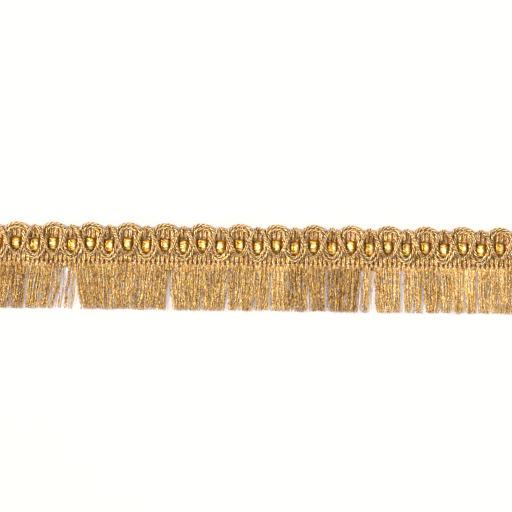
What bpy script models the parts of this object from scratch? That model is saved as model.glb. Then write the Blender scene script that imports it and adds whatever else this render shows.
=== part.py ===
"""A cut length of metallic gold fringe trim, lying flat with its face up.

A ribbed knitted ground carries a soft film strip, a pair of gimp cords laid in large scallops
and a single gimp cord laid in small loops. Below the ground a stitched foot holds the cut fringe.
X runs along the trim, Y towards the scallops and Z out of its face. The surface is at z = 0.
"""

import math

import bmesh
import bpy

MM = 0.001

# Driving dimensions
REPEATS = 14
REPEAT = 16.15 * MM
WIDTH = 38.0 * MM
PIECE_GAP = 0.3 * MM

LENGTH = REPEATS * REPEAT
LEFT_END = -LENGTH / 2
TOP_EDGE = WIDTH / 2
BOTTOM_EDGE = -WIDTH / 2

# Ribbed ground: eight weft ribs to each scallop, drawn in by two stitched wales
RIBS_PER_REPEAT = 8
RIB_VALLEY = 0.55 * MM
RIB_CREST = 1.0 * MM
GROUND_ROWS_MM = (
    # y, height of the rib crests
    (1.9, 0.85),
    (3.9, 1.0),
    (6.0, 0.8),
    (12.3, 0.8),
    (14.2, 1.0),
    (16.1, 0.8),
)

# Film strip: a flattened tube that swells in each window between the cords
FILM_Y = 9.2 * MM
FILM_SWAY = 0.37 * MM
FILM_BASE = RIB_CREST + PIECE_GAP
FILM_STATIONS_MM = (
    # distance from the middle of a scallop's window, of a loop's, height of the film, share of full width
    (-2.6, -1.75, 0.45, 0.85),
    (-1.4, -1.0, 2.1, 1.0),
    (1.4, 1.0, 2.1, 1.0),
    (2.6, 1.75, 0.45, 0.85),
)
FILM_HALF_WIDTH_SCALLOP = 2.4 * MM
FILM_HALF_WIDTH_LOOP = 2.65 * MM
FILM_SECTION = (
    # share of the half width, share of the height
    (-1.0, 0.0),
    (-0.92, 0.5),
    (-0.5, 0.9),
    (0.0, 1.0),
    (0.5, 0.9),
    (0.92, 0.5),
    (1.0, 0.0),
)

# Gimp cords
UPPER_GIMP_RADIUS = 0.68 * MM
LOWER_GIMP_RADIUS = 0.6 * MM
LOOP_GIMP_RADIUS = 0.55 * MM
PAIR_SPACING = UPPER_GIMP_RADIUS + LOWER_GIMP_RADIUS + PIECE_GAP
SCALLOP_TOP = TOP_EDGE - UPPER_GIMP_RADIUS - PAIR_SPACING / 2
SCALLOP_BOTTOM = 3.85 * MM
SCALLOP_LEAN = 0.45 * MM
SCALLOP_FULLNESS = 1.28 * MM
SCALLOP_SHOULDER = 0.4 * MM
LOOP_TOP = 17.2 * MM
LOOP_BOTTOM = 5.0 * MM
LOOP_LEAN = 0.13 * MM
LOOP_FULLNESS = 0.05 * MM
LOOP_SHOULDER = 0.0
SCALLOP_STEPS_DEG = (0, 14, 28, 42, 58, 80, 104, 126, 144, 162)
LOOP_STEPS_DEG = (0, 18, 38, 58, 78, 96, 114, 132, 148, 164)
SCALLOP_LIFT_MM = (
    # y, height of the cord's centre as it climbs over the film strip
    (3.0, 1.98),
    (5.3, 1.98),
    (6.5, 2.73),
    (11.9, 2.73),
    (13.0, 1.98),
    (16.2, 1.98),
    (17.4, 1.3),
)
LOOP_LIFT_MM = (
    # y, height of the cord's centre as it climbs over the scallop cords
    (5.0, 2.3),
    (6.0, 3.0),
    (7.3, 4.32),
    (13.0, 4.32),
    (14.0, 3.6),
    (15.7, 3.6),
    (16.6, 2.6),
    (17.2, 2.0),
)

# Stitched foot and cut fringe
FOOT_TOP = 1.6 * MM
FOOT_BOTTOM = 0.0
FOOT_UNDERSIDE = 0.1 * MM
FOOT_SHOULDER = 1.5 * MM
FOOT_STITCH_CREST = 2.4 * MM
FOOT_STITCH_VALLEY = 1.9 * MM
FOOT_LIP = 1.95 * MM
STRAND_PITCH = 1.01 * MM
STRAND_ROOT_WIDTH = 0.9 * MM
STRAND_TIP_WIDTH = 0.8 * MM
STRAND_HEIGHT = 0.75 * MM
STRAND_ROOT_DEPTH = 0.8 * MM
BACK_LAYER = 0.0
FRONT_LAYER_ROOT = 1.08 * MM
FRONT_LAYER_TIP = 1.05 * MM
STRAND_STATIONS = (0.0, 0.5, 1.0)
STRAND_BOW = 0.25 * MM
BOW_WAVE = 31.0 * MM
RAGGED_END = 0.7 * MM
RAGGED_STEP = 2.4
LOCKS_MM = (
    # root left, root right, tip left, tip right, each along the trim from its left end
    (0.2, 4.3, 0.2, 2.1),
    (4.3, 6.7, 2.1, 3.4),
    (7.0, 13.0, 5.6, 10.2),
    (14.1, 24.4, 11.9, 21.4),
    (24.6, 26.9, 22.6, 23.9),
    (27.0, 28.3, 25.7, 27.8),
    (30.4, 32.2, 28.9, 30.3),
    (32.2, 33.0, 31.3, 32.1),
    (33.0, 50.2, 36.3, 50.2),
    (50.2, 61.0, 50.4, 58.5),
    (61.3, 74.7, 59.3, 73.2),
    (75.0, 88.2, 76.7, 88.2),
    (88.4, 100.5, 89.3, 98.0),
    (100.8, 106.2, 100.6, 104.5),
    (106.2, 113.0, 105.8, 109.7),
    (113.0, 114.9, 112.0, 113.8),
    (114.9, 118.6, 114.3, 118.4),
    (118.8, 126.6, 119.1, 126.4),
    (127.1, 128.6, 127.4, 128.3),
    (128.6, 132.3, 129.5, 131.8),
    (132.3, 134.9, 132.7, 134.2),
    (134.9, 142.5, 135.9, 142.3),
    (144.0, 157.9, 144.8, 156.1),
    (159.4, 162.3, 158.1, 160.4),
    (163.8, 175.1, 165.4, 174.9),
    (176.6, 180.1, 177.1, 179.8),
    (180.3, 184.2, 181.6, 184.1),
    (184.5, 191.6, 186.2, 191.6),
    (192.5, 196.8, 193.9, 196.7),
    (197.1, 202.6, 198.4, 202.4),
    (203.1, 207.6, 204.0, 207.7),
    (208.9, 213.9, 209.3, 214.0),
    (214.2, 225.9, 214.5, 225.9),
)

WELD = 0.001 * MM
FLAT_ANGLE = math.radians(0.05)
ANGLE_SLACK = 1e-6

FINISHES = {
    # name: colour, roughness, metallic
    "ground_yarn": ((0.60, 0.40, 0.15), 0.5, 0.6),
    "gimp_yarn": ((0.66, 0.45, 0.19), 0.45, 0.6),
    "film": ((0.85, 0.52, 0.06), 0.2, 1.0),
    "fringe_yarn": ((0.62, 0.40, 0.12), 0.45, 0.7),
}


def clear_scene():
    for old in list(bpy.data.objects):
        bpy.data.objects.remove(old, do_unlink=True)


def new_collection(name):
    collection = bpy.data.collections.new(name)
    bpy.context.scene.collection.children.link(collection)
    return collection


def finish(name):
    colour, roughness, metallic = FINISHES[name]
    material = bpy.data.materials.new(name)
    material.use_nodes = True
    shader = material.node_tree.nodes["Principled BSDF"]
    shader.inputs["Base Color"].default_value = (*colour, 1.0)
    shader.inputs["Roughness"].default_value = roughness
    shader.inputs["Metallic"].default_value = metallic
    return material


def between(table, at):
    """The value that a two-column table gives at a place, in millimetres and on straight lines."""
    if at <= table[0][0]:
        return table[0][1]
    for (low, value_low), (high, value_high) in zip(table, table[1:]):
        if at <= high:
            return value_low + (value_high - value_low) * (at - low) / (high - low)
    return table[-1][1]


def add_loft(bm, rings):
    """Adds one closed body through rings of equal length: a grid rolled up, welded and capped."""
    along = len(rings) - 1
    around = len(rings[0])
    made = bmesh.ops.create_grid(bm, x_segments=along, y_segments=around, size=0.5)
    for vert in made["verts"]:
        ring = round((vert.co.x + 0.5) * along)
        place = round((vert.co.y + 0.5) * around) % around
        vert.co = rings[ring][place]
    verts = made["verts"]
    faces = {face for vert in verts for face in vert.link_faces}
    bmesh.ops.remove_doubles(bm, verts=verts, dist=WELD)
    rims = {edge for face in faces if face.is_valid for edge in face.edges if edge.is_boundary}
    bmesh.ops.holes_fill(bm, edges=list(rims), sides=0)


def finished(bm, name, collection, material):
    """Turns the working mesh into a named object with flat areas merged and faces out."""
    bmesh.ops.recalc_face_normals(bm, faces=bm.faces)
    bmesh.ops.dissolve_limit(bm, angle_limit=FLAT_ANGLE, verts=bm.verts, edges=bm.edges)
    mesh = bpy.data.meshes.new(name)
    bm.to_mesh(mesh)
    bm.free()
    mesh.materials.append(material)
    solid = bpy.data.objects.new(name, mesh)
    collection.objects.link(solid)
    return solid


def rib_columns():
    """(x, whether it is a crest) for each valley and crest along the trim."""
    columns = 2 * RIBS_PER_REPEAT * REPEATS
    return [(LEFT_END + LENGTH * i / columns, i % 2 == 1) for i in range(columns + 1)]


def heading_ground(collection, material):
    """The knitted ground: vertical ribs raised in its face, over a flat back that is sewn down."""
    rings = []
    for x, crest in rib_columns():
        ring = [(x, GROUND_ROWS_MM[0][0] * MM, 0.0)]
        for y_mm, crest_mm in GROUND_ROWS_MM:
            ring.append((x, y_mm * MM, crest_mm * MM if crest else RIB_VALLEY))
        ring.append((x, GROUND_ROWS_MM[-1][0] * MM, 0.0))
        rings.append(ring)
    bm = bmesh.new()
    add_loft(bm, rings)
    return finished(bm, "heading_ground", collection, material)


def film_strip(collection, material):
    """The film strip, swelling in 28 windows and pressed flat where the cords cross it."""
    window = REPEAT / 2
    rings = []

    def add_ring(x, height, share):
        wave = math.cos(2 * math.pi * x / REPEAT + math.pi * (REPEATS % 2))
        scallop_share = (1 - wave) / 2
        half = FILM_HALF_WIDTH_LOOP + (FILM_HALF_WIDTH_SCALLOP - FILM_HALF_WIDTH_LOOP) * scallop_share
        middle = FILM_Y - FILM_SWAY * wave
        ring = []
        for side, up in FILM_SECTION:
            ring.append((x, middle + side * share * half, FILM_BASE + up * height))
        rings.append(ring)

    crown_mm, crown_share = FILM_STATIONS_MM[1][2:]
    add_ring(LEFT_END, crown_mm * MM, crown_share)
    for place in range(2 * REPEATS + 1):
        middle = LEFT_END + place * window
        for scallop_mm, loop_mm, height_mm, share in FILM_STATIONS_MM:
            x = middle + (scallop_mm if place % 2 else loop_mm) * MM
            if LEFT_END < x < -LEFT_END:
                add_ring(x, height_mm * MM, share)
    add_ring(-LEFT_END, crown_mm * MM, crown_share)
    bm = bmesh.new()
    add_loft(bm, rings)
    return finished(bm, "film_strip", collection, material)


def wave_angles(half_steps_deg):
    """Angles along the whole trim from those of one half wave; 0 is at a large scallop's middle."""
    mirrored = [360 - step for step in reversed(half_steps_deg[1:])]
    one_wave = [*half_steps_deg, 180, *mirrored]
    angles = []
    for repeat in range(-1, REPEATS):
        angles += [math.radians(step + 360 * repeat) for step in one_wave]
    first = -math.pi
    last = first + 2 * math.pi * REPEATS
    return [angle for angle in angles if first - ANGLE_SLACK <= angle <= last + ANGLE_SLACK]


def wave_line(steps_deg, crest_y, trough_y, harmonics, aside, lift_mm):
    """Points of a cord laid in waves. aside moves it square to its line, to its left.

    harmonics are the first three sines by which the line leaves a plain cosine along the trim.
    """
    mean = (crest_y + trough_y) / 2
    swing = (crest_y - trough_y) / 2
    first_scallop = LEFT_END + REPEAT / 2
    points = []
    for angle in wave_angles(steps_deg):
        x = REPEAT * angle / (2 * math.pi)
        run = REPEAT / (2 * math.pi)
        for order, size in enumerate(harmonics, start=1):
            x += size * math.sin(order * angle)
            run += order * size * math.cos(order * angle)
        y = mean + swing * math.cos(angle)
        rise = -swing * math.sin(angle)
        long = math.hypot(run, rise)
        x -= aside * rise / long
        y += aside * run / long
        z = between(lift_mm, y / MM) * MM
        points.append((first_scallop + x, y, z))
    return points


def gimp(name, points, radius, collection, material):
    """A gimp cord: a bevelled curve with four sides and plain cut ends."""
    curve = bpy.data.curves.new(name, "CURVE")
    curve.dimensions = "3D"
    curve.bevel_depth = radius
    curve.bevel_resolution = 0
    curve.use_fill_caps = True
    spline = curve.splines.new("POLY")
    spline.points.add(len(points) - 1)
    for point, place in zip(spline.points, points):
        point.co = (*place, 1.0)
    curve.materials.append(material)
    cord = bpy.data.objects.new(name, curve)
    collection.objects.link(cord)
    return cord


def strand_rings(root_x, tip_x, tip_y, front):
    """Rings of one triangular strand from inside the foot to its cut end."""
    rings = []
    for share in STRAND_STATIONS:
        y = FOOT_BOTTOM + (tip_y - FOOT_BOTTOM) * share
        x = root_x + (tip_x - root_x) * share
        x += STRAND_BOW * math.sin(math.pi * share) * math.sin(2 * math.pi * root_x / BOW_WAVE)
        base = FRONT_LAYER_ROOT + (FRONT_LAYER_TIP - FRONT_LAYER_ROOT) * share if front else BACK_LAYER
        half = (STRAND_ROOT_WIDTH + (STRAND_TIP_WIDTH - STRAND_ROOT_WIDTH) * share) / 2
        rings.append([(x - half, y, base), (x + half, y, base), (x, y, base + STRAND_HEIGHT)])
    inside = [(x, y + STRAND_ROOT_DEPTH, z) for x, y, z in rings[0]]
    return [inside, *rings]


def fringe_strands():
    """(root x, tip x, tip y, front layer) for every strand, lock by lock."""
    strands = []
    for root_left, root_right, tip_left, tip_right in LOCKS_MM:
        count = max(1, round((root_right - root_left) * MM / STRAND_PITCH))
        for place in range(count):
            share = (place + 0.5) / count
            root_x = LEFT_END + (root_left + (root_right - root_left) * share) * MM
            tip_x = LEFT_END + (tip_left + (tip_right - tip_left) * share) * MM
            number = len(strands)
            tip_y = BOTTOM_EDGE + RAGGED_END * (0.5 - 0.5 * math.cos(number * RAGGED_STEP))
            strands.append((root_x, tip_x, tip_y, number % 2 == 1))
    return strands


def fringe_skirt(collection, helpers, material):
    """The stitched foot with its cut strands, fused to it at their roots."""
    middle = (FOOT_TOP + FOOT_BOTTOM) / 2
    rings = []
    for x, crest in rib_columns():
        stitch = FOOT_STITCH_CREST if crest else FOOT_STITCH_VALLEY
        rings.append([
            (x, FOOT_TOP, FOOT_UNDERSIDE),
            (x, FOOT_TOP, FOOT_SHOULDER),
            (x, middle, stitch),
            (x, FOOT_BOTTOM, FOOT_LIP),
            (x, FOOT_BOTTOM, FOOT_UNDERSIDE),
        ])
    foot_mesh = bmesh.new()
    add_loft(foot_mesh, rings)
    foot = finished(foot_mesh, "fringe_skirt", collection, material)

    strand_mesh = bmesh.new()
    for strand in fringe_strands():
        add_loft(strand_mesh, strand_rings(*strand))
    strands = finished(strand_mesh, "strands_to_fuse", helpers, material)
    strands.hide_render = True
    strands.display_type = "WIRE"

    fuse = foot.modifiers.new("fuse_strands", "BOOLEAN")
    fuse.operation = "UNION"
    fuse.solver = "EXACT"
    fuse.object = strands
    return foot


def build():
    clear_scene()
    trim = new_collection("fringe_trim")
    helpers = new_collection("helpers")
    gimp_yarn = finish("gimp_yarn")

    heading_ground(trim, finish("ground_yarn"))
    film_strip(trim, finish("film"))
    scallop_shape = (SCALLOP_LEAN, SCALLOP_FULLNESS, SCALLOP_SHOULDER)
    scallop = (SCALLOP_STEPS_DEG, SCALLOP_TOP, SCALLOP_BOTTOM, scallop_shape)
    upper = wave_line(*scallop, PAIR_SPACING / 2, SCALLOP_LIFT_MM)
    gimp("scallop_gimp_upper", upper, UPPER_GIMP_RADIUS, trim, gimp_yarn)
    lower = wave_line(*scallop, -PAIR_SPACING / 2, SCALLOP_LIFT_MM)
    gimp("scallop_gimp_lower", lower, LOWER_GIMP_RADIUS, trim, gimp_yarn)
    loop_shape = (LOOP_LEAN, LOOP_FULLNESS, LOOP_SHOULDER)
    loop = wave_line(LOOP_STEPS_DEG, LOOP_BOTTOM, LOOP_TOP, loop_shape, 0.0, LOOP_LIFT_MM)
    gimp("loop_gimp", loop, LOOP_GIMP_RADIUS, trim, gimp_yarn)
    fringe_skirt(trim, helpers, finish("fringe_yarn"))


build()
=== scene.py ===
"""The looks of a metallic gold gimp-headed fringe, lying face up on white paper.

X runs along the trim, Y from the fringe towards the scallops and Z out of the face. The yarns are laid out in
millimetres, as is every value whose name ends in _MM, and add_piece turns their points into the frame's metres.
"""

import math

import bpy
import numpy as np
from mathutils import Euler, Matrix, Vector


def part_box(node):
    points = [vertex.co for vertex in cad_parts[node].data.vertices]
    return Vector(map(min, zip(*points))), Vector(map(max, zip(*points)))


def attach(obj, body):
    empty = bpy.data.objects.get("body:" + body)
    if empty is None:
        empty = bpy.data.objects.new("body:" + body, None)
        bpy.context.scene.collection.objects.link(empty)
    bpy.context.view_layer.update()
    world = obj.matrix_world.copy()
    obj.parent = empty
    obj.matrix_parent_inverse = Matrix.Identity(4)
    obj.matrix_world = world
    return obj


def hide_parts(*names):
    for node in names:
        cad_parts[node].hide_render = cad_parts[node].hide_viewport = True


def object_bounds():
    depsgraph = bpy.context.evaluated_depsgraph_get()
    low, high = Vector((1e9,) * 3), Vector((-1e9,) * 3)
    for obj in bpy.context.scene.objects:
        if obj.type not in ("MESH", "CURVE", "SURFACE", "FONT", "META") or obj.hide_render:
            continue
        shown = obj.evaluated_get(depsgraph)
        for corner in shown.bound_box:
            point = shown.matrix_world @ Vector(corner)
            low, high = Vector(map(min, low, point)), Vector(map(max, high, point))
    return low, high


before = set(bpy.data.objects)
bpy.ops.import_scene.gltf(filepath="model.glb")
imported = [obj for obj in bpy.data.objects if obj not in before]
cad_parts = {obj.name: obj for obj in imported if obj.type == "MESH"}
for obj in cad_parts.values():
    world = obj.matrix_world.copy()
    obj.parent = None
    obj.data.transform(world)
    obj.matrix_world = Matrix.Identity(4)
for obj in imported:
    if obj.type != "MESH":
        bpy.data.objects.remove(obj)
cad_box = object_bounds()
scene = bpy.context.scene

# The trim as a whole, read from the frame in millimetres: the ends of the ground give its length, and the
# heading has 14 repeats, each of one large scallop and one small loop. It is 226 mm of cut length.
MM = 0.001
REPEATS = 14
SEED = 7
ground_low, ground_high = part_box("heading_ground")
left_end = ground_low.x / MM
length = (ground_high.x - ground_low.x) / MM
repeat = length / REPEATS
first_scallop = left_end + repeat / 2
cad_low, cad_high = cad_box
random = np.random.default_rng(SEED)


# The camera looks straight down through a long lens, as in the photograph, which shows 222.4 mm of the trim
# from side to side. The trim slopes down to the right there, so the camera is rolled by the same angle.
LENS_MM = 100.0
SENSOR_MM = 36.0
VIEW_WIDTH_MM = 222.4
SLOPE = math.radians(0.77)
AIM = Vector((-0.78, 5.2, 2.0)) * MM
NEAREST = 0.01
distance = VIEW_WIDTH_MM * MM * LENS_MM / SENSOR_MM
camera = bpy.data.objects.new("camera", bpy.data.cameras.new("camera"))
camera.data.lens = LENS_MM
camera.data.sensor_width = SENSOR_MM
camera.data.clip_start = NEAREST
camera.location = AIM + Vector((0, 0, distance))
camera.rotation_euler = Euler((0, 0, SLOPE))
scene.collection.objects.link(camera)
scene.camera = camera


# Soft studio light: a broad softbox overhead, a distant lamp from the upper left whose shadows part the
# yarns, and a grey surround, dimmer towards the horizon, so that metal has something dark to reflect too.
SOFTBOX_FROM = Vector((0.04, 0.06, 0.9))
SOFTBOX_SIZE = (0.7, 0.3)
SOFTBOX_WATTS = 3.9
SOFTBOX_WHITE = "#FFFDF8"
KEY_FROM = Vector((-0.78, 0.2, 0.76))
KEY_STRENGTH = 3.4
KEY_SPREAD = math.radians(14)
KEY_WHITE = "#FFF9EE"
SURROUND_STRENGTH = 0.98
SURROUND_GREYS = [(0.0, "#A8A29B"), (0.45, "#C0BBB5"), (1.0, "#F4F4F4")]


def node(tree, kind, settings=None, **links):
    """Adds a shader node. settings are its attributes, and each link is a socket's value or source."""
    made = tree.nodes.new(kind)
    for key, value in (settings or {}).items():
        setattr(made, key, value)
    for key, value in links.items():
        socket = made.inputs[int(key[1:])] if key[1:].isdigit() else made.inputs[key.replace("_", " ")]
        if isinstance(value, bpy.types.NodeSocket):
            tree.links.new(value, socket)
        else:
            socket.default_value = value
    return made


def linear(hex_colour):
    """An sRGB hex colour as linear RGBA."""
    channels = [int(hex_colour[i:i + 2], 16) / 255 for i in (1, 3, 5)]
    return (*[c / 12.92 if c <= 0.04045 else ((c + 0.055) / 1.055) ** 2.4 for c in channels], 1.0)


def colour_band(tree, source, stops):
    """A colour ramp from source through (place, hex colour) stops."""
    ramp = node(tree, "ShaderNodeValToRGB", Fac=source)
    band = ramp.color_ramp
    while len(band.elements) < len(stops):
        band.elements.new(1.0)
    for element, (place, hex_colour) in zip(band.elements, stops):
        element.position = place
        element.color = linear(hex_colour)
    return ramp.outputs["Color"]


def add_lamp(name, kind, energy, hex_colour, place):
    """A lamp that shines from place towards the middle of the trim."""
    lamp = bpy.data.objects.new(name, bpy.data.lights.new(name, kind))
    lamp.data.energy = energy
    lamp.data.color = linear(hex_colour)[:3]
    lamp.rotation_euler = (-place).to_track_quat("-Z", "Y").to_euler()
    scene.collection.objects.link(lamp)
    return lamp


softbox = add_lamp("overhead_softbox", "AREA", SOFTBOX_WATTS, SOFTBOX_WHITE, SOFTBOX_FROM)
softbox.location = SOFTBOX_FROM
softbox.data.shape = "RECTANGLE"
softbox.data.size, softbox.data.size_y = SOFTBOX_SIZE
key_light = add_lamp("key_light", "SUN", KEY_STRENGTH, KEY_WHITE, KEY_FROM)
key_light.data.angle = KEY_SPREAD

world = bpy.data.worlds.new("surround")
world.use_nodes = True
surround = world.node_tree
skyward = node(surround, "ShaderNodeTexCoord").outputs["Generated"]
rising = node(surround, "ShaderNodeSeparateXYZ", Vector=skyward)
glow = colour_band(surround, rising.outputs["Z"], SURROUND_GREYS)
surround.nodes["Background"].inputs["Strength"].default_value = SURROUND_STRENGTH
surround.links.new(glow, surround.nodes["Background"].inputs["Color"])
scene.world = world
scene.view_settings.view_transform = "Standard"
scene.view_settings.look = "None"


# The paper that the trim lies on, which isn't part of the object. It is uncoated and matt, with a faint grain.
# Its pale lilac grey is brought up to white by the light, and shows in the shade between the locks.
PAPER_GREY = "#D0C8C9"
PAPER_GRAINS_PER_MM = 0.9
PAPER_RELIEF_MM = 0.1
FLOOR_SIZE = 14.0


def new_material(name, **settings):
    """A material with one Principled shader. Returns it with its tree and its shader."""
    material = bpy.data.materials.new(name)
    material.use_nodes = True
    shader = material.node_tree.nodes["Principled BSDF"]
    for key, value in settings.items():
        shader.inputs[key.replace("_", " ")].default_value = value
    return material, material.node_tree, shader


paper, paper_tree, paper_shader = new_material(
    "matt_pale_grey_paper", Base_Color=linear(PAPER_GREY), Roughness=0.9)
paper_grain = node(paper_tree, "ShaderNodeTexNoise", Scale=PAPER_GRAINS_PER_MM / MM, Detail=3.0)
paper_bump = node(paper_tree, "ShaderNodeBump", Strength=0.02, Distance=PAPER_RELIEF_MM * MM,
                  Height=paper_grain.outputs["Fac"])
paper_tree.links.new(paper_bump.outputs["Normal"], paper_shader.inputs["Normal"])
bpy.ops.mesh.primitive_plane_add(size=FLOOR_SIZE, location=(0, 0, cad_low.z))
floor = bpy.context.object
floor.name = "floor"
floor.data.materials.append(paper)


# The knitted ground: a narrow band knitted from the fringe's own yarn, whose courses stand up as 112 ribs
# across it. It is one flat sheet, and the cords and the film strip lie on its face.
COURSES = 8 * REPEATS
GROUND_BOTTOM_MM = ground_low.y / MM
GROUND_TOP_MM = ground_high.y / MM
GROUND_VALLEY_MM = 0.3
GROUND_RIB_MM = 0.2
GROUND_SHORT_MM = 0.15
# How light the ground's painted shade is
GROUND_SHADE_TONE = 0.4
ROWS_ACROSS = 10
STEPS_PER_COURSE = 6
EDGE_TURN_MM = 0.3
# How high the top edge rises, and over how much on either side of the middle
SCALLOP_CROWN_MM = (1.3, 4.9)
LOOP_CROWN_MM = (0.8, 2.3)


def top_edge(x_mm):
    """How far up the ground reaches: it turns higher behind each scallop and loop than between them."""
    edge = np.zeros_like(x_mm)
    for start, (rise, half) in ((0.0, SCALLOP_CROWN_MM), (repeat / 2, LOOP_CROWN_MM)):
        off = (x_mm - first_scallop - start + repeat / 2) % repeat - repeat / 2
        edge = np.maximum(edge, rise * np.sqrt(np.clip(1 - (off / half) ** 2, 0, 1)))
    return GROUND_TOP_MM + EDGE_TURN_MM + edge


def add_piece(name, points_mm, faces, material, smooth=True):
    """A mesh piece from an array of points in millimetres. It rides on the trim's only body."""
    mesh = bpy.data.meshes.new(name)
    mesh.from_pydata((points_mm * MM).tolist(), [], faces)
    mesh.validate()
    if smooth:
        mesh.shade_smooth()
    piece = bpy.data.objects.new(name, mesh)
    scene.collection.objects.link(piece)
    mesh.materials.append(material)
    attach(piece, "root")
    return piece


# Metallic yarn: film slit into a fine ribbon and twisted round a fibre core. It is part metal and part soft
# fibre to the eye, and it glitters, because the flats of film between two turns face many ways. Each flat is
# also painted lighter or darker at random, up to the pale GOLD_SPARK, which is painted glitter.
GOLD_SPARK = "#F6DDAC"
MID_PLACE = 0.35
PALE_PLACE = 0.75
SHADE_RANGE = (0.1, 1.7)
TONE_SHARE = 0.5
DRIFT_SHARE = 0.4
DRIFT_MM = 7.0
HUE_RANGE = (0.487, 0.513)
SATURATION_RANGE = (0.75, 1.15)
FUZZ_MM = 0.16
FUZZ_RELIEF_MM = 0.05


def metal_yarn(name, colours, roughness, metallic, facet_mm, glint, stretch=1.0):
    """A material of metallic yarn, in three colours: deep for the painted shade in its grooves, then middling,
    then pale.

    facet_mm is the size of one flat of film, drawn as coarse as it has to be to show. glint is how far the
    flats lean, and stretch how much longer they are across the trim, in yarns that run that way.
    """
    deep, mid, pale = colours
    material, tree, shader = new_material(name, Metallic=metallic, Roughness=roughness)
    place = node(tree, "ShaderNodeTexCoord").outputs["Object"]
    slit = node(tree, "ShaderNodeMapping", Vector=place, Scale=(1.0, 1.0 / stretch, 1.0))
    facets = node(tree, "ShaderNodeTexVoronoi", Vector=slit.outputs["Vector"], Scale=1 / (facet_mm * MM))
    drift = node(tree, "ShaderNodeTexNoise", Vector=place, Scale=1 / (DRIFT_MM * MM), Detail=2.0)
    tone_and_painted_light = node(tree, "ShaderNodeAttribute", {"attribute_name": "tone_and_painted_light"})
    chance = node(tree, "ShaderNodeSeparateColor", Color=facets.outputs["Color"])
    mixed = node(tree, "ShaderNodeMath", {"operation": "MULTIPLY_ADD"},
                 _0=tone_and_painted_light.outputs["Fac"], _1=TONE_SHARE, _2=chance.outputs["Red"])
    shifted = node(tree, "ShaderNodeMath", {"operation": "MULTIPLY_ADD"},
                   _0=drift.outputs["Fac"], _1=DRIFT_SHARE, _2=mixed.outputs["Value"])
    shade = node(tree, "ShaderNodeMapRange", Value=shifted.outputs["Value"],
                 From_Min=SHADE_RANGE[0], From_Max=SHADE_RANGE[1])
    colour = colour_band(tree, shade.outputs["Result"],
                         [(0.0, deep), (MID_PLACE, mid), (PALE_PLACE, pale), (1.0, GOLD_SPARK)])
    hue = node(tree, "ShaderNodeMapRange", Value=chance.outputs["Green"],
               To_Min=HUE_RANGE[0], To_Max=HUE_RANGE[1])
    strength = node(tree, "ShaderNodeMapRange", Value=chance.outputs["Blue"],
                    To_Min=SATURATION_RANGE[0], To_Max=SATURATION_RANGE[1])
    flashed = node(tree, "ShaderNodeHueSaturation", Color=colour, Hue=hue.outputs["Result"],
                   Saturation=strength.outputs["Result"])
    tree.links.new(flashed.outputs["Color"], shader.inputs["Base Color"])
    lean = node(tree, "ShaderNodeVectorMath", {"operation": "SUBTRACT"},
                _0=facets.outputs["Color"], _1=(0.5, 0.5, 0.5))
    tipped = node(tree, "ShaderNodeVectorMath", {"operation": "SCALE"},
                  _0=lean.outputs["Vector"], Scale=glint)
    surface = node(tree, "ShaderNodeNewGeometry").outputs["Normal"]
    turned = node(tree, "ShaderNodeVectorMath", {"operation": "ADD"},
                  _0=surface, _1=tipped.outputs["Vector"])
    straight = node(tree, "ShaderNodeVectorMath", {"operation": "NORMALIZE"}, _0=turned.outputs["Vector"])
    fibres = node(tree, "ShaderNodeTexNoise", Vector=place, Scale=1 / (FUZZ_MM * MM), Detail=2.0)
    fuzz = node(tree, "ShaderNodeBump", Strength=0.4, Distance=FUZZ_RELIEF_MM * MM,
                Height=fibres.outputs["Fac"], Normal=straight.outputs["Vector"])
    tree.links.new(fuzz.outputs["Normal"], shader.inputs["Normal"])
    return material


def set_tone(piece, tones):
    """Stores how light each point's yarn is, mostly 0 to 1 with painted shade and highlight, for its material
    to read.
    """
    tone_and_painted_light = piece.data.attributes.new("tone_and_painted_light", "FLOAT", "POINT")
    tone_and_painted_light.data.foreach_set("value", np.asarray(tones, dtype=float))


def closed_sheet(top, underside):
    """Points and faces of a slab between two grids of points that share their rims' places."""
    rows, columns = top.shape[:2]
    points = np.concatenate([top.reshape(-1, 3), underside.reshape(-1, 3)])
    above = np.arange(rows * columns).reshape(rows, columns)
    below = above + rows * columns
    quads = [(above[:-1, :-1], above[:-1, 1:], above[1:, 1:], above[1:, :-1]),
             (below[:-1, :-1], below[1:, :-1], below[1:, 1:], below[:-1, 1:])]
    for upper, lower in ((above[0, ::-1], below[0, ::-1]), (above[-1], below[-1]),
                         (above[:, 0], below[:, 0]), (above[::-1, -1], below[::-1, -1])):
        quads.append((upper[:-1], upper[1:], lower[1:], lower[:-1]))
    faces = []
    for corners in quads:
        faces += np.stack(corners, -1).reshape(-1, 4).tolist()
    return points, faces


# The ground's yarn is seen only deep between the ribs, and is painted the darkest and dullest gold there as
# painted shade.
ground_yarn_painted_shade = metal_yarn("metallic_knit_yarn_painted_shade", ("#341805", "#6E3F14", "#A87434"),
                         roughness=0.5, metallic=0.6, facet_mm=0.5, glint=0.6)
along = np.linspace(left_end, left_end + length, COURSES * STEPS_PER_COURSE + 1)[None, :]
across = np.linspace(0, 1, ROWS_ACROSS)[:, None]
edge = top_edge(along) - GROUND_SHORT_MM
rib = 0.5 - 0.5 * np.cos(2 * np.pi * (along - left_end) / length * COURSES)
face = np.stack(np.broadcast_arrays(along, GROUND_BOTTOM_MM + (edge - GROUND_BOTTOM_MM) * across,
                                    GROUND_VALLEY_MM + GROUND_RIB_MM * rib), -1)
back = face.copy()
back[..., 2] = 0.0
ground = add_piece("knitted_ground", *closed_sheet(face, back), ground_yarn_painted_shade)
set_tone(ground, np.full(len(ground.data.vertices), GROUND_SHADE_TONE))
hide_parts("heading_ground")


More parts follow.
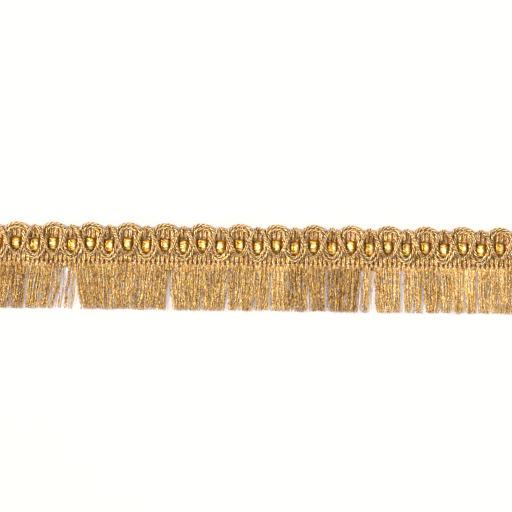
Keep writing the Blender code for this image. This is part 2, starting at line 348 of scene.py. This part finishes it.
# The courses of the ground: two soft twisted yarns lie side by side in each rib, from the turned loops at the
# top edge down to the foot. They are the same yarn as the fringe, and are caught by the wales of stitches.
RIB_PAIR_MM = 0.37
RIB_YARN_RADIUS_MM = 0.43
RIB_HEIGHT_MM = 0.68
RIB_RISE_MM = (-0.05, 0.08)
RIB_STEPS = 44
RIB_START_MM = 0.1
RIB_WANDER_MM = 0.07
RIB_SWAY_MM = 0.06
RIB_SWAY_PER_MM = 2.1
RIB_SWAY_PER_COURSE = 1.7
WALES_MM = (5.9, 12.5)
WALE_REACH_MM = 0.55
WALE_PINCH_MM = 0.27
WALE_SINK_MM = 0.15
WALE_THINNING = 0.4


def yarn_points(paths, radii, around, plies, lay_mm, depth, phases, hands):
    """Points of many twisted yarns at once, with the plies standing out as ridges that wind along them.

    paths is an array of yarns by steps by xyz. lay_mm is the length of one full twist, depth the share of the
    radius that the grooves between the plies go down, and hands 1 or -1 for the way each yarn is twisted.
    """
    tangent = np.gradient(paths, axis=1)
    tangent /= np.linalg.norm(tangent, axis=-1, keepdims=True)
    side = np.cross(tangent, (0.0, 0.0, 1.0))
    side /= np.maximum(np.linalg.norm(side, axis=-1, keepdims=True), 1e-9)
    up = np.cross(side, tangent)
    run = np.linalg.norm(np.diff(paths, axis=1), axis=-1)
    run = np.concatenate([np.zeros((len(paths), 1)), np.cumsum(run, axis=1)], axis=1)
    twist = hands[:, None] * (2 * np.pi * run / lay_mm + phases[:, None])
    angle = np.linspace(0, 2 * np.pi, around, endpoint=False)
    ridge = 0.5 + 0.5 * np.cos(plies * (angle[None, None, :] - twist[..., None]))
    reach = radii[..., None] * (1 - depth + depth * np.sqrt(ridge))
    points = (paths[:, :, None, :]
              + (reach * np.cos(angle))[..., None] * side[:, :, None, :]
              + (reach * np.sin(angle))[..., None] * up[:, :, None, :])
    return points, ridge


def yarn_faces(yarns, steps, around):
    """Faces of tubes in the order of yarn_points, with a flat cut end on each."""
    base = np.arange(yarns)[:, None, None] * steps * around
    ring = np.arange(steps - 1)[None, :, None] * around
    spoke = np.arange(around)[None, None, :]
    after = (spoke + 1) % around
    quads = np.stack([base + ring + spoke, base + ring + after,
                      base + ring + around + after, base + ring + around + spoke], -1)
    faces = quads.reshape(-1, 4).tolist()
    for start in range(0, yarns * steps * around, steps * around):
        faces.append(list(range(start + around - 1, start - 1, -1)))
        faces.append(list(range(start + (steps - 1) * around, start + steps * around)))
    return faces


def add_yarns(name, paths, radii, material, around=6, plies=2, lay_mm=2.4, depth=0.3, tones=None,
              groove=0.9, knitted=False):
    """One mesh piece of many like yarns. groove is how much painted shade darkens them in the grooves between
    plies.

    Knitted ones twist in step and every second one the other way, so each pair makes a column of V stitches.
    """
    yarns, steps = paths.shape[:2]
    radii = np.broadcast_to(radii, (yarns, steps))
    phases = np.zeros(yarns) if knitted else random.uniform(0, 2 * np.pi, yarns)
    hands = np.where(np.arange(yarns) % 2, 1, -1) if knitted else np.ones(yarns)
    points, ridge = yarn_points(paths, radii, around, plies, lay_mm, depth, phases, hands)
    piece = add_piece(name, points.reshape(-1, 3), yarn_faces(yarns, steps, around), material)
    tones = random.uniform(0, 1, yarns) if tones is None else np.asarray(tones)
    # The grooves between plies get painted shade through their tone.
    set_tone(piece, (tones[:, None, None] + groove * (ridge - 1)).reshape(-1))
    return piece


def rib_paths(low_mm, high_mm, steps, height_mm, wales):
    """Paths and thicknesses of the paired yarns in every course, pinched where a wale of stitches crosses."""
    paths, radii = [], []
    for number in range(COURSES):
        middle = left_end + length * (number + 0.5) / COURSES
        middle += random.uniform(-RIB_WANDER_MM, RIB_WANDER_MM)
        y = np.linspace(high_mm[number], low_mm, steps)
        pinch = sum((np.exp(-((y - wale) / WALE_REACH_MM) ** 2) for wale in wales), np.zeros(steps))
        for side in (-1, 1):
            x = middle + side * (RIB_PAIR_MM - WALE_PINCH_MM * pinch)
            x = x + RIB_SWAY_MM * np.sin(y * RIB_SWAY_PER_MM + number * RIB_SWAY_PER_COURSE + side)
            z = height_mm - WALE_SINK_MM * pinch + random.uniform(*RIB_RISE_MM)
            paths.append(np.stack([x, y, z], -1))
            radii.append(1 - WALE_THINNING * pinch)
    return np.array(paths), np.array(radii)


# The courses' yarn is loosely knitted, so its film lies in long flats. It is painted paler than the same yarn
# in the fringe, as painted light.
rib_yarn_painted_light = metal_yarn("metallic_rib_yarn_painted_light", ("#8C5C24", "#DEB26A", "#F4D8A2"),
                      roughness=0.42, metallic=0.55, facet_mm=0.55, glint=0.8, stretch=1.6)
course_middles = left_end + length * (np.arange(COURSES) + 0.5) / COURSES
paths, thickness = rib_paths(GROUND_BOTTOM_MM + RIB_START_MM, top_edge(course_middles), RIB_STEPS,
                             RIB_HEIGHT_MM, WALES_MM)
courses = add_yarns("rib_yarns", paths, thickness * RIB_YARN_RADIUS_MM, rib_yarn_painted_light,
                    depth=0.42, groove=1.15, knitted=True)


# The wales: rows of stitches in a thin thread, one round each course, which run along the heading on both
# sides of the film strip and draw the courses in, so that holes stand between them, dark with real shade and
# with the ground's painted shade.
STITCH_THREAD_MM = 0.17
STITCH_STEPS = 14
STITCH_REACH = 0.21
STITCH_HALF_MM = 0.3
STITCH_RISE_MM = 0.3
STITCH_SINK_MM = 0.05
DROP_MEAN = 0.75
DROP_SWING = 0.25


def stitch_paths(wale_mm, crest_mm, half_mm, reach=STITCH_REACH):
    """One drop-shaped loop round each course, its two legs apart and its ends drawn into the work."""
    turn = np.linspace(0, 2 * np.pi, STITCH_STEPS)
    pitch = length / COURSES
    paths = []
    for middle in course_middles:
        x = middle - pitch * reach * np.cos(turn)
        y = wale_mm + half_mm * np.sin(turn) * (DROP_MEAN - DROP_SWING * np.cos(turn))
        z = crest_mm + STITCH_RISE_MM * np.sin(turn / 2)
        paths.append(np.stack([x, y, z], -1))
    return np.array(paths)


# The thread is thinner and smoother than the yarns, with a softer shine and almost no ridges.
binding_thread = metal_yarn("binding_thread", ("#5A310C", "#A87836", "#F6DBA6"),
                            roughness=0.4, metallic=0.4, facet_mm=0.4, glint=0.8)
wales = np.concatenate([stitch_paths(wale, RIB_HEIGHT_MM - STITCH_SINK_MM, STITCH_HALF_MM)
                        for wale in WALES_MM])
wale_stitches = add_yarns("wale_stitches", wales, STITCH_THREAD_MM, binding_thread, depth=0.1)


# The film strip: one ribbon of gold metallised film, laid loose along the middle of the ground. Each crossing
# of the cords pinches it flat, and between them it puffs up and creases lengthwise.
film_low, film_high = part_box("film_strip")
FILM_BASE_MM = film_low.z / MM
FILM_TOP_MM = film_high.z / MM
FILM_THICKNESS_MM = 0.02
FILM_MIDDLE_MM = 9.2
FILM_SWAY_MM = 0.37
FILM_HALF_SCALLOP_MM = 2.85
FILM_HALF_LOOP_MM = 2.95
FILM_REACH_SCALLOP_MM = 2.2
FILM_REACH_LOOP_MM = 2.1
FILM_PINCHED_SHARE = 0.38
FILM_PINCHED_WIDTH = 0.86
FILM_PILLOW = 3.0
FILM_SHOULDER = 0.7
FILM_ROUNDING = 0.75
FILM_LEAN = 0.16
FILM_STEPS = 2 * REPEATS * 30
FILM_AROUND = 36

# Its creases: two deep grooves part each puff into a middle and two flanks, fine wrinkles run along it, and
# they fan out to where the cords pinch it. Their waves are in radians across, along and from puff to puff.
LOBE_SHARE = 0.56
GROOVE_MM = 0.5
GROOVE_WIDTH = 0.1
GROOVE_WANDER = 0.06
GROOVE_WANDER_WAVE = (0.9, 2.1)
WRINKLE_MM = 0.09
WRINKLE_WAVES = ((19, 1.9, 3), (31, -2.6, 1))
FAN_MM = 0.18
FAN_WAVE = 14

# Its tones, all painted light: a ragged painted highlight where each puff is highest, a painted dark crease on
# either side of that core, painted shade on the flanks, and the darkest painted shade under the cords. The core
# lies a little aside, and elsewhere in each puff.
PINCHED_SHADE_TONE = 0.2
FLANK_BLUR = 0.12
FLANK_SHADE_DARKENING = 0.6
CORE_HIGHLIGHT_TONE = 2.5
CORE_FADE = 4.6
CORE_ASIDE_MM = 0.3
CORE_ASIDE_SWING_MM = 0.5
RAGGED_SHARE = 0.15
RAGGED_WAVE = 17
SIDE_SHADE_TONE = 0.5
CREASE_PLACE = 0.58
CREASE_WIDTH = 0.13
CREASE_SHADE_DARKENING = 0.75
FILM_TONE_SHARE = 0.85

# Numbers that mix the puffs' own numbers up, so that no two puffs are creased alike
CREASE_MIX, CREASE_SWING = 12.9898, 1.7
LEAN_MIX = 5.3
CORE_MIX = 2.7


def film_rings():
    """Points of the ribbon as rings, and each one's painted highlight at the core and painted shade at creases,
    flanks, pinches.
    """
    x = np.linspace(left_end, left_end + length, FILM_STEPS + 1)
    wave = np.cos(2 * np.pi * (x - first_scallop) / repeat)
    in_scallop = (1 + wave) / 2
    puff = np.round((x - first_scallop) / (repeat / 2))
    from_middle = x - first_scallop - puff * repeat / 2
    reach = FILM_REACH_LOOP_MM + (FILM_REACH_SCALLOP_MM - FILM_REACH_LOOP_MM) * in_scallop
    swell = np.clip(1 - (np.abs(from_middle) / reach) ** FILM_PILLOW, 0, 1) ** FILM_SHOULDER
    half = FILM_HALF_LOOP_MM + (FILM_HALF_SCALLOP_MM - FILM_HALF_LOOP_MM) * in_scallop
    half = half * (FILM_PINCHED_WIDTH + (1 - FILM_PINCHED_WIDTH) * swell)
    middle = FILM_MIDDLE_MM + FILM_SWAY_MM * wave
    crown = (FILM_TOP_MM - FILM_BASE_MM) * (FILM_PINCHED_SHARE + (1 - FILM_PINCHED_SHARE) * swell)
    lean = from_middle[:, None] * np.sin(puff * LEAN_MIX)[:, None] * FILM_LEAN

    turn = np.linspace(0, 2 * np.pi, FILM_AROUND, endpoint=False)[None, :]
    side = np.cos(turn)
    up = np.clip(np.sin(turn), 0, 1) ** FILM_ROUNDING
    phase = np.sin(puff * CREASE_MIX)[:, None] * CREASE_SWING
    along_wave, puff_wave = GROOVE_WANDER_WAVE
    slow = np.sin((x[:, None] - left_end) * along_wave + puff[:, None] * puff_wave) * GROOVE_WANDER
    groove = np.exp(-((np.abs(side + slow) - LOBE_SHARE) / GROOVE_WIDTH) ** 2)
    fine = sum(np.sin(side * a + x[:, None] * b + phase * c) for a, b, c in WRINKLE_WAVES)
    fan = np.sin(side * FAN_WAVE + phase) * (1 - swell[:, None])
    lift = crown[:, None] + swell[:, None] * (lean - GROOVE_MM * groove + WRINKLE_MM * fine)
    lift = up * (lift + FAN_MM * fan - WRINKLE_MM)
    points = np.stack([np.broadcast_to(x[:, None], lift.shape),
                       middle[:, None] + side * half[:, None],
                       FILM_BASE_MM + np.maximum(lift, 0.0) + FILM_THICKNESS_MM * (np.sin(turn) > 0)], -1)

    flank_shade = np.clip((np.abs(side + slow) - LOBE_SHARE) / FLANK_BLUR + 0.5, 0, 1)
    aside = (from_middle - CORE_ASIDE_MM - CORE_ASIDE_SWING_MM * np.sin(puff * CORE_MIX)) / reach
    ragged = np.abs(aside[:, None] + RAGGED_SHARE * np.sin(side * RAGGED_WAVE + phase))
    core_highlight = np.clip(CORE_HIGHLIGHT_TONE - CORE_FADE * ragged, 0, 1)
    crease_shade = np.exp(-((ragged - CREASE_PLACE) / CREASE_WIDTH) ** 2)
    tones = ((PINCHED_SHADE_TONE + (1 - PINCHED_SHADE_TONE) * swell[:, None]) * (1 - FLANK_SHADE_DARKENING * flank_shade)
             * (SIDE_SHADE_TONE + (1 - SIDE_SHADE_TONE) * core_highlight - CREASE_SHADE_DARKENING * crease_shade))
    return points, tones * FILM_TONE_SHARE


# Metallised film: a thin bright metal skin on clear plastic, so it mirrors its surround through a faint coat.
# Small crinkles, longer along the strip than across it, break that into flashes. Its colour, from mustard gold
# to cream, is painted shade and painted highlight, read from each puff's tones, with a faint random tint.
FILM_SHADE_TO_HIGHLIGHT_GOLDS = [(0.04, "#3C2006"), (0.22, "#A06A1E"), (0.42, "#B88820"), (0.68, "#D8AE50"), (1.0, "#F2E0AC")]
CRINKLE_MM = 0.9
CRINKLE_RELIEF_MM = 0.25
CRINKLE_STRETCH = (0.35, 1.0, 1.0)
TINT_MM = 1.6
TINT_SHARE = 0.3
film, film_tree, film_shader = new_material(
    "metallised_gold_film_painted_light", Metallic=0.88, Roughness=0.37, Coat_Weight=0.06, Coat_Roughness=0.1)
film_place = node(film_tree, "ShaderNodeTexCoord").outputs["Object"]
film_stretch = node(film_tree, "ShaderNodeMapping", Vector=film_place, Scale=CRINKLE_STRETCH)
film_crinkle = node(film_tree, "ShaderNodeTexVoronoi", {"feature": "DISTANCE_TO_EDGE"},
                    Vector=film_stretch.outputs["Vector"], Scale=1 / (CRINKLE_MM * MM))
film_bump = node(film_tree, "ShaderNodeBump", Strength=1.0, Distance=CRINKLE_RELIEF_MM * MM,
                 Height=film_crinkle.outputs["Distance"])
film_tint = node(film_tree, "ShaderNodeTexNoise", Vector=film_place, Scale=1 / (TINT_MM * MM), Detail=2.0)
film_light_and_shade = node(film_tree, "ShaderNodeAttribute", {"attribute_name": "tone_and_painted_light"})
film_shade = node(film_tree, "ShaderNodeMath", {"operation": "MULTIPLY_ADD"},
                  _0=film_tint.outputs["Fac"], _1=TINT_SHARE, _2=film_light_and_shade.outputs["Fac"])
film_colour = colour_band(film_tree, film_shade.outputs["Value"], FILM_SHADE_TO_HIGHLIGHT_GOLDS)
film_tree.links.new(film_colour, film_shader.inputs["Base Color"])
film_tree.links.new(film_bump.outputs["Normal"], film_shader.inputs["Normal"])
film_points, film_painted_light = film_rings()
film_ribbon = add_piece("film_ribbon", film_points.reshape(-1, 3),
                        yarn_faces(1, FILM_STEPS + 1, FILM_AROUND), film)
set_tone(film_ribbon, film_painted_light.reshape(-1))
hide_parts("film_strip")


# The gimp cords: a soft core wound over with metallic yarn, so fine ridges wind round them. Two lie side by
# side in the large scallops, over the film strip, and a thinner twin one loops over both.
UPPER_RADIUS_MM = 0.68
LOWER_RADIUS_MM = 0.6
PIECE_GAP_MM = 0.3
PAIR_SPACING_MM = UPPER_RADIUS_MM + LOWER_RADIUS_MM + PIECE_GAP_MM
SCALLOP_TOP_MM = cad_high.y / MM - UPPER_RADIUS_MM - PAIR_SPACING_MM / 2
SCALLOP_BOTTOM_MM = 3.85
SCALLOP_WAVE_MM = (0.45, 1.28, 0.4)
LOOP_TOP_MM = 17.2
LOOP_BOTTOM_MM = 5.0
LOOP_WAVE_MM = (0.13, 0.05, 0.0)
CORD_STEP_MM = 0.2
CORD_FULLNESS = 1.08
CORD_LAY_MM = 6.0
PLY_RADIUS_MM = 0.36
PLY_ASIDE_MM = 0.34
PLY_LAY_MM = 2.7
SAMPLES_PER_REPEAT = 240
# Places across the trim, and how high a cord's middle lies there over the film, the ribs and the edge
SCALLOP_LIFT_MM = (
    (3.0, 1.98), (5.3, 1.98), (6.5, 2.73), (11.9, 2.73), (13.0, 1.98), (16.2, 1.98), (17.4, 1.3))
LOOP_LIFT_MM = (
    (5.0, 2.3), (6.0, 3.0), (7.3, 4.32), (13.0, 4.32), (14.0, 3.6), (15.7, 3.6), (16.6, 2.6), (17.2, 2.0))
LIFT_WINDOW = 13
# How far a cord strays from its wave as it is laid, and the samples over which that comes and goes
STRAY_MM = 0.1
STRAY_LIMIT_MM = 0.12
FINE_WINDOW = 41
COARSE_WINDOW = 401


def smoothed(track, window):
    """The columns of an array, each averaged over a bell-shaped window of that many samples."""
    bell = np.hanning(window) / np.hanning(window).sum()
    return np.stack([np.convolve(column, bell, "same") for column in track.T], -1)


def wave_path(crest_mm, trough_mm, harmonics_mm, aside_mm, lift_mm):
    """The line of a cord laid in waves, as evenly spaced points. aside_mm moves it square to its line.

    harmonics_mm are the first three sines by which the line leaves a plain cosine along the trim.
    """
    angle = np.linspace(-np.pi, 2 * np.pi * REPEATS - np.pi, SAMPLES_PER_REPEAT * REPEATS + 1)
    mean, swing = (crest_mm + trough_mm) / 2, (crest_mm - trough_mm) / 2
    x = repeat * angle / (2 * np.pi) + sum(h * np.sin(n * angle) for n, h in enumerate(harmonics_mm, 1))
    y = mean + swing * np.cos(angle)
    run = repeat / (2 * np.pi) + sum(n * h * np.cos(n * angle) for n, h in enumerate(harmonics_mm, 1))
    rise = -swing * np.sin(angle)
    slope = np.hypot(run, rise)
    x = x - aside_mm * rise / slope
    y = y + aside_mm * run / slope
    stray = smoothed(np.cumsum(random.normal(0, 1, (len(x), 2)), axis=0), FINE_WINDOW)
    stray -= smoothed(stray, COARSE_WINDOW)
    stray = np.clip(stray * (STRAY_MM / stray.std()), -STRAY_LIMIT_MM, STRAY_LIMIT_MM)
    x = x + stray[:, 0]
    y = y + stray[:, 1]
    z = np.interp(y, [row[0] for row in lift_mm], [row[1] for row in lift_mm])
    z = np.convolve(np.pad(z, LIFT_WINDOW // 2, "edge"), np.ones(LIFT_WINDOW) / LIFT_WINDOW, "valid")
    points = np.stack([first_scallop + x, y, z], -1)
    run_mm = np.concatenate([[0], np.cumsum(np.linalg.norm(np.diff(points, axis=0), axis=1))])
    places = np.linspace(0, run_mm[-1], int(run_mm[-1] / CORD_STEP_MM))
    return np.stack([np.interp(places, run_mm, points[:, i]) for i in range(3)], -1)[None]


# The cords' wound yarn is tightest, so its ridges stand out in the light. Their high tone below is a painted
# highlight, and the dark grooves between them are painted shade.
gimp = metal_yarn("metallic_wound_gimp_painted_light", ("#381A03", "#CC9E56", "#F0D29C"),
                  roughness=0.45, metallic=0.6, facet_mm=0.6, glint=0.85)
for name, cad_node, aside, radius in (
    ("scallop_cord_upper", "scallop_gimp_upper", PAIR_SPACING_MM / 2, UPPER_RADIUS_MM),
    ("scallop_cord_lower", "scallop_gimp_lower", -PAIR_SPACING_MM / 2, LOWER_RADIUS_MM),
):
    path = wave_path(SCALLOP_TOP_MM, SCALLOP_BOTTOM_MM, SCALLOP_WAVE_MM, aside, SCALLOP_LIFT_MM)
    cord = add_yarns(name, path, radius * CORD_FULLNESS, gimp, around=12, plies=3, lay_mm=CORD_LAY_MM,
                     depth=0.48, tones=[1.35], groove=2.5)
    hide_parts(cad_node)
for name, aside in (("loop_ply_left", PLY_ASIDE_MM), ("loop_ply_right", -PLY_ASIDE_MM)):
    path = wave_path(LOOP_BOTTOM_MM, LOOP_TOP_MM, LOOP_WAVE_MM, aside, LOOP_LIFT_MM)
    add_yarns(name, path, PLY_RADIUS_MM, gimp, around=8, lay_mm=PLY_LAY_MM,
                           depth=0.4, tones=[1.5], groove=2.7)
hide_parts("loop_gimp")
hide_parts("loop_gimp")


# The foot: the last few millimetres of every course, held by one strong row of chain stitches in which the
# fringe is caught. A thin band behind them closes the slits in the ground's dark yarn, a painted shade, and
# below it the yarns are cut loose.
FOOT_RIB_HEIGHT_MM = 1.2
FOOT_RIB_RADIUS_MM = 0.5
FOOT_RIB_TONES = (-0.45, 0.4)
FOOT_STEPS = 18
FOOT_TUCK_MM = 1.2
FOOT_END_MM = -0.6
FOOT_SINK_MM = 0.6
FOOT_SINK_START_MM = 0.4
FOOT_SINK_RUN_MM = 1.6
FOOT_WALE_MM = 1.7
FOOT_THREAD_MM = 0.22
FOOT_STITCH_HALF_MM = 0.34
FOOT_STITCH_REACH = 0.14
FOOT_STITCH_TONE = 1.1
# The band's low and high edge across the trim, and its underside and face
FOOT_BAND_MM = (0.3, GROUND_BOTTOM_MM - 0.02, 0.15, 0.6)
# How light the band's painted shade is
FOOT_BAND_SHADE_TONE = 0.8
foot_top = np.full(COURSES, GROUND_BOTTOM_MM + FOOT_TUCK_MM)
paths, thickness = rib_paths(FOOT_END_MM, foot_top, FOOT_STEPS, FOOT_RIB_HEIGHT_MM, (FOOT_WALE_MM,))
below_wale = (FOOT_WALE_MM - FOOT_SINK_START_MM - paths[..., 1]) / FOOT_SINK_RUN_MM
paths[..., 2] -= FOOT_SINK_MM * np.clip(below_wale, 0, 1)
foot_ribs = add_yarns("foot_courses", paths, thickness * FOOT_RIB_RADIUS_MM, rib_yarn_painted_light, groove=0.65,
                      knitted=True, tones=random.uniform(*FOOT_RIB_TONES, len(paths)))
foot_loops = stitch_paths(FOOT_WALE_MM, FOOT_RIB_HEIGHT_MM, FOOT_STITCH_HALF_MM, FOOT_STITCH_REACH)
foot_stitches = add_yarns("foot_stitches", foot_loops, FOOT_THREAD_MM, binding_thread, depth=0.15,
                          tones=np.full(COURSES, FOOT_STITCH_TONE))
low, high, under, over = FOOT_BAND_MM
band_x = np.linspace(left_end, left_end + length, COURSES + 1)
band_face, band_back = [
    np.stack(np.broadcast_arrays(band_x[None, :], np.array([[low], [high]]), level), -1)
    for level in (over, under)]
foot_band = add_piece("foot_band", *closed_sheet(band_face, band_back), ground_yarn_painted_shade, smooth=False)
set_tone(foot_band, np.full(len(foot_band.data.vertices), FOOT_BAND_SHADE_TONE))
for piece in (foot_band, foot_ribs, foot_stitches):
    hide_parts("fringe_skirt")


# The fringe: fine yarns of viscose twisted with metallised film, cut to one length and lying in loose locks
# with gaps between them. A few locks are thin, those in one stretch are of a deeper gold, and they all grow a
# little paler towards the right. Stray yarns have come loose and lie across their neighbours.
YARNS_PER_MM = 4.1
YARN_RADIUS_MM = 0.24
YARN_THICKNESSES = (0.8, 1.12)
YARN_TONES = (-0.3, 0.65)
YARN_STEPS = 42
TIP_SPREAD_MM = 0.42
STRAYS_PER_MM = 1.4
STRAY_RADIUS_MM = 0.15
STRAY_SPREAD_MM = 1.9
TAPER = 0.45
TAPER_POWER = 8

# The cut ends
TIP_MM = cad_low.y / MM
RAGGED_MM = 1.3
RAGGED_POWER = 1.9
LOCK_RAGGED_MM = 0.5

# How each yarn lies: caught at its root, drawn towards the middle of its tuft, then bowed, bent and crimped
TUFT_MM = 3.6
TUFT_DRAW = 0.25
ROOT_PLACES = (0.1, 0.9)
FRINGE_ROOT_MM = 1.0
ROOT_HEIGHT_MM = 1.4
LOWEST_MM = 0.35
HIGHEST_MM = 2.2
RISE_SHARE = 0.2
TIP_DROOP_MM = 0.25
HEIGHT_WAVE_MM = 0.08
HELD_SHARE = 0.25
SLANT_POWER = 1.15
BOW_MM = 0.4
BEND_MM = 0.16
BEND_WAVES = (7, 14)
CRIMP_MM = (0.05, 0.13)
CRIMP_WAVES_PER_MM = (2.4, 3.6)
ANY_PHASE = (0, 6.3)
CUT_END_MM = 0.4

# The tones and thinness of locks, by where their roots start
LOCK_TONES = (-0.14, 0.11)
PALER_END_TONE = 0.38
DEEP_LOCKS_MM = (127.0, 158.0)
DEEP_LOCK_TONE = 0.5
THIN_LOCKS_MM = (24.5, 33.0)
THIN_LOCK_SHARE = 0.55

# Each row is one lock, measured along the trim from its left end
LOCKS_MM = (
    # root left, root right, tip left, tip right
    (0.2, 4.3, 0.2, 2.1),
    (4.3, 6.7, 2.1, 3.4),
    (7.0, 13.0, 5.6, 10.2),
    (14.1, 24.4, 11.9, 21.4),
    (24.6, 26.9, 22.6, 23.9),
    (27.0, 28.3, 25.7, 27.8),
    (30.4, 32.2, 28.9, 30.3),
    (32.2, 33.0, 31.3, 32.1),
    (33.0, 50.2, 36.3, 50.2),
    (50.2, 61.0, 50.4, 58.5),
    (61.3, 74.7, 59.3, 73.2),
    (75.0, 88.2, 76.7, 88.2),
    (88.4, 100.5, 89.3, 98.0),
    (100.8, 106.2, 100.6, 104.5),
    (106.2, 113.0, 105.8, 109.7),
    (113.0, 114.9, 112.0, 113.8),
    (114.9, 118.6, 114.3, 118.4),
    (118.8, 126.6, 119.1, 126.4),
    (127.1, 128.6, 127.4, 128.3),
    (128.6, 132.3, 129.5, 131.8),
    (132.3, 134.9, 132.7, 134.2),
    (134.9, 142.5, 135.9, 142.3),
    (143.5, 157.9, 144.2, 156.1),
    (159.4, 162.3, 158.1, 160.4),
    (163.8, 175.1, 165.4, 174.9),
    (176.6, 180.1, 177.1, 179.8),
    (180.3, 184.2, 181.6, 184.1),
    (184.5, 191.6, 186.2, 191.6),
    (192.5, 196.8, 193.9, 196.7),
    (197.1, 202.6, 198.4, 202.4),
    (203.1, 207.6, 204.0, 207.7),
    (208.9, 213.9, 209.3, 214.0),
    (214.2, 225.9, 214.5, 225.9),
)


def fringe_paths(per_mm, spread_mm):
    """Paths and tones of every yarn, lock by lock. spread_mm is how far its tip strays from its place."""
    share = np.linspace(0, 1, YARN_STEPS)
    loose = np.minimum(share / HELD_SHARE, 1)
    paths, tones = [], []
    for root_left, root_right, tip_left, tip_right in LOCKS_MM:
        thin = THIN_LOCKS_MM[0] < root_left < THIN_LOCKS_MM[1]
        deep = DEEP_LOCKS_MM[0] < root_left < DEEP_LOCKS_MM[1]
        count = max(1, round((root_right - root_left) * per_mm * (THIN_LOCK_SHARE if thin else 1)))
        tufts = max(1, round((root_right - root_left) / TUFT_MM))
        lock_tone = random.uniform(*LOCK_TONES) - DEEP_LOCK_TONE * deep
        lock_tone += PALER_END_TONE * root_left / length
        lock_short = random.uniform(0, LOCK_RAGGED_MM)
        for place in range(count):
            at = (place + random.uniform(*ROOT_PLACES)) / count
            tuft = (np.floor(at * tufts) + 0.5) / tufts
            drawn = at + TUFT_DRAW * (tuft - at)
            root = left_end + root_left + (root_right - root_left) * at
            tip = left_end + tip_left + (tip_right - tip_left) * drawn + random.normal(0, spread_mm)
            end = TIP_MM + lock_short + RAGGED_MM * random.uniform(0, 1) ** RAGGED_POWER
            y = FRINGE_ROOT_MM + (end - FRINGE_ROOT_MM) * share
            bow = random.normal(0, BOW_MM) * np.sin(np.pi * share)
            bend = BEND_MM * np.sin(share * random.uniform(*BEND_WAVES) + random.uniform(*ANY_PHASE))
            crimp = random.uniform(*CRIMP_MM) * np.sin(
                y * random.uniform(*CRIMP_WAVES_PER_MM) + random.uniform(*ANY_PHASE))
            x = root + (tip - root) * share ** SLANT_POWER + bow + (bend + crimp) * loose
            x = np.clip(x, left_end + CUT_END_MM, left_end + length - CUT_END_MM)
            z_root, z_mid, z_tip = random.uniform(LOWEST_MM, (ROOT_HEIGHT_MM, HIGHEST_MM, HIGHEST_MM))
            z = np.interp(share, (0, RISE_SHARE, 1), (z_root, z_mid, z_tip - TIP_DROOP_MM))
            z = z + HEIGHT_WAVE_MM * np.sin(y + random.uniform(*ANY_PHASE))
            paths.append(np.stack([x, y, np.maximum(z, LOWEST_MM)], -1))
            tones.append(lock_tone + random.uniform(*YARN_TONES))
    return np.array(paths), np.array(tones)


# The fringe's yarn lies straight with little twist, so its glitter is fine and its gold even.
fringe_yarn = metal_yarn("metallic_fringe_yarn", ("#744812", "#D0A256", "#F8DA9C"),
                         roughness=0.45, metallic=0.55, facet_mm=0.45, glint=0.9, stretch=1.15)
taper = 1 - TAPER * np.linspace(0, 1, YARN_STEPS) ** TAPER_POWER
paths, tones = fringe_paths(YARNS_PER_MM, TIP_SPREAD_MM)
order = np.argsort(paths[:, :, 2].mean(axis=1))
fringe = []
for name, picked in zip(("fringe_back", "fringe_middle", "fringe_front"), np.array_split(order, 3)):
    radii = YARN_RADIUS_MM * random.uniform(*YARN_THICKNESSES, (len(picked), 1)) * taper
    fringe.append(add_yarns(name, paths[picked], radii, fringe_yarn, around=5,
                            tones=tones[picked], groove=0.5))
paths, tones = fringe_paths(STRAYS_PER_MM, STRAY_SPREAD_MM)
fringe.append(add_yarns("fringe_strays", paths, STRAY_RADIUS_MM * taper, fringe_yarn, around=4, tones=tones))
for piece in fringe:
    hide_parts("fringe_skirt")
